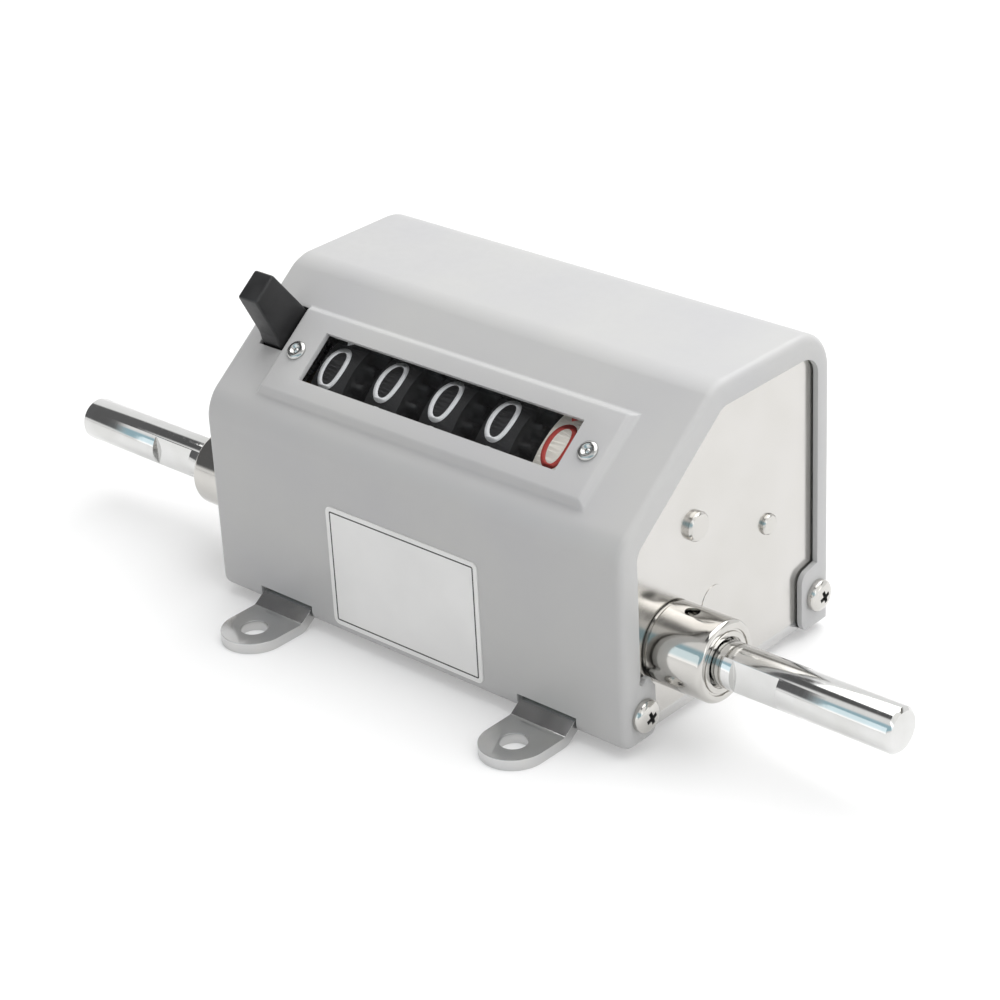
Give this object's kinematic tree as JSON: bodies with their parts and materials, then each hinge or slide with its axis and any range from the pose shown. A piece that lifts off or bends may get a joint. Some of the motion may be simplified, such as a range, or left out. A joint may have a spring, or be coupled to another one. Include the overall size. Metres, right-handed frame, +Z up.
{
  "type": "mechanical length counter",
  "caption": "Shaft-driven mechanical counter with number wheels behind a window, a push-to-zero key, a sloped sheet-metal case and foot lugs.",
  "frame": {"origin": "middle of the four lug holes, on the table surface", "axes": "+X along the drive shaft to the right, front wall faces -Y, +Z up"},
  "size_m": [0.1887, 0.0848, 0.0615],
  "materials": {
    "cover": "satin light grey paint",
    "window_pane": "clear",
    "window_rivets": "nickel plated",
    "label_plate": "white sticker",
    "cover_screws": "nickel plated",
    "base_plate": "zinc plated",
    "base_rivets": "plain",
    "side_plate_left": "bright nickel",
    "side_plate_right": "bright nickel",
    "plate_plugs": "plain",
    "bush_left": "turned, nickel plated",
    "bush_right": "turned, nickel plated",
    "bush_nuts": "plated",
    "drive_shaft": "ground steel",
    "drive_gear": "cut brass",
    "gear_pin": "plain",
    "shaft_collar": "turned",
    "collar_screw": "black oxide",
    "wheel_arbor": "ground steel",
    "spacer_left": "turned brass",
    "spacer_right": "turned brass",
    "clutch_washer": "spring steel",
    "input_gear": "cut brass",
    "wheel_1": "black plastic",
    "wheel_2": "black plastic",
    "wheel_3": "black plastic",
    "wheel_4": "black plastic",
    "wheel_5": "ivory white plastic",
    "pinion_1": "natural plastic",
    "pinion_2": "natural plastic",
    "pinion_3": "natural plastic",
    "pinion_4": "natural plastic",
    "pinion_shaft": "ground steel",
    "pinion_spacers": "plain tube",
    "frame_arm_left": "stamped steel",
    "frame_arm_right": "stamped steel",
    "reset_comb": "hardened, dark",
    "rock_shaft": "ground steel",
    "rock_clips": "spring steel",
    "reset_key": "black plastic",
    "key_blade": "stamped steel",
    "blade_stud": "plain",
    "spring_post": "plain",
    "return_spring": "spring wire"
  },
  "bodies": {
    "case": {"cover": "cover", "window_pane": "window_pane", "window_rivets": "window_rivets", "label_plate": "label_plate", "cover_screws": "cover_screws", "base_plate": "base_plate", "base_rivets": "base_rivets", "side_plate_left": "side_plate_left", "side_plate_right": "side_plate_right", "plate_plugs": "plate_plugs", "bush_left": "bush_left", "bush_right": "bush_right", "bush_nuts": "bush_nuts", "wheel_arbor": "wheel_arbor", "spacer_left": "spacer_left", "spacer_right": "spacer_right", "spring_post": "spring_post", "return_spring": "return_spring"},
    "shaft": {"drive_shaft": "drive_shaft", "drive_gear": "drive_gear", "gear_pin": "gear_pin", "shaft_collar": "shaft_collar", "collar_screw": "collar_screw"},
    "input": {"input_gear": "input_gear"},
    "wheel_body_5": {"wheel_5": "wheel_5", "clutch_washer": "clutch_washer"},
    "wheel_body_4": {"wheel_4": "wheel_4"},
    "wheel_body_3": {"wheel_3": "wheel_3"},
    "wheel_body_2": {"wheel_2": "wheel_2"},
    "wheel_body_1": {"wheel_1": "wheel_1"},
    "reset_frame": {"pinion_shaft": "pinion_shaft", "pinion_spacers": "pinion_spacers", "frame_arm_left": "frame_arm_left", "frame_arm_right": "frame_arm_right", "reset_comb": "reset_comb", "rock_shaft": "rock_shaft", "rock_clips": "rock_clips"},
    "key": {"reset_key": "reset_key", "key_blade": "key_blade", "blade_stud": "blade_stud"},
    "pinion_body_1": {"pinion_1": "pinion_1"},
    "pinion_body_2": {"pinion_2": "pinion_2"},
    "pinion_body_3": {"pinion_3": "pinion_3"},
    "pinion_body_4": {"pinion_4": "pinion_4"}
  },
  "joints": [
    {"name": "shaft_spin", "type": "hinge", "parent": "case", "child": "shaft", "pos_m": [0, -0.0142, 0.0162], "axis": [1, 0, 0], "continuous": true},
    {"name": "input_spin", "type": "hinge", "parent": "case", "child": "input", "pos_m": [0, -0.00736, 0.03471], "axis": [1, 0, 0], "continuous": true},
    {"name": "wheel_5_spin", "type": "hinge", "parent": "case", "child": "wheel_body_5", "pos_m": [0, -0.00736, 0.03471], "axis": [1, 0, 0], "continuous": true},
    {"name": "wheel_4_spin", "type": "hinge", "parent": "case", "child": "wheel_body_4", "pos_m": [0, -0.00736, 0.03471], "axis": [1, 0, 0], "continuous": true},
    {"name": "wheel_3_spin", "type": "hinge", "parent": "case", "child": "wheel_body_3", "pos_m": [0, -0.00736, 0.03471], "axis": [1, 0, 0], "continuous": true},
    {"name": "wheel_2_spin", "type": "hinge", "parent": "case", "child": "wheel_body_2", "pos_m": [0, -0.00736, 0.03471], "axis": [1, 0, 0], "continuous": true},
    {"name": "wheel_1_spin", "type": "hinge", "parent": "case", "child": "wheel_body_1", "pos_m": [0, -0.00736, 0.03471], "axis": [1, 0, 0], "continuous": true},
    {"name": "key_push", "type": "slide", "parent": "case", "child": "key", "axis": [0, 0.6088, -0.7934], "range_m": [0, 0.005], "stiffness_N_per_m": 400, "springref_m": -0.004, "deforming": ["return_spring"]},
    {"name": "reset_rock", "type": "hinge", "parent": "case", "child": "reset_frame", "pos_m": [0, 0.0121, 0.0267], "axis": [1, 0, 0], "range_deg": [0, 16.7]},
    {"name": "pinion_4_spin", "type": "hinge", "parent": "reset_frame", "child": "pinion_body_4", "pos_m": [0, -0.0026, 0.01786], "axis": [1, 0, 0], "continuous": true},
    {"name": "pinion_3_spin", "type": "hinge", "parent": "reset_frame", "child": "pinion_body_3", "pos_m": [0, -0.0026, 0.01786], "axis": [1, 0, 0], "continuous": true},
    {"name": "pinion_2_spin", "type": "hinge", "parent": "reset_frame", "child": "pinion_body_2", "pos_m": [0, -0.0026, 0.01786], "axis": [1, 0, 0], "continuous": true},
    {"name": "pinion_1_spin", "type": "hinge", "parent": "reset_frame", "child": "pinion_body_1", "pos_m": [0, -0.0026, 0.01786], "axis": [1, 0, 0], "continuous": true}
  ],
  "couplings": [
    {"joint": "input_spin", "follows": "shaft_spin", "ratio": -1},
    {"joint": "wheel_5_spin", "follows": "shaft_spin", "ratio": -1},
    {"joint": "wheel_4_spin", "follows": "shaft_spin", "ratio": -0.1},
    {"joint": "wheel_3_spin", "follows": "shaft_spin", "ratio": -0.01},
    {"joint": "wheel_2_spin", "follows": "shaft_spin", "ratio": -0.001},
    {"joint": "wheel_1_spin", "follows": "shaft_spin", "ratio": -0.0001},
    {"joint": "reset_rock", "follows": "key_push", "rad_per_m": 58.297},
    {"joint": "pinion_4_spin", "follows": "shaft_spin", "ratio": 0.25},
    {"joint": "pinion_3_spin", "follows": "shaft_spin", "ratio": 0.025},
    {"joint": "pinion_2_spin", "follows": "shaft_spin", "ratio": 0.0025},
    {"joint": "pinion_1_spin", "follows": "shaft_spin", "ratio": 0.00025}
  ]
}
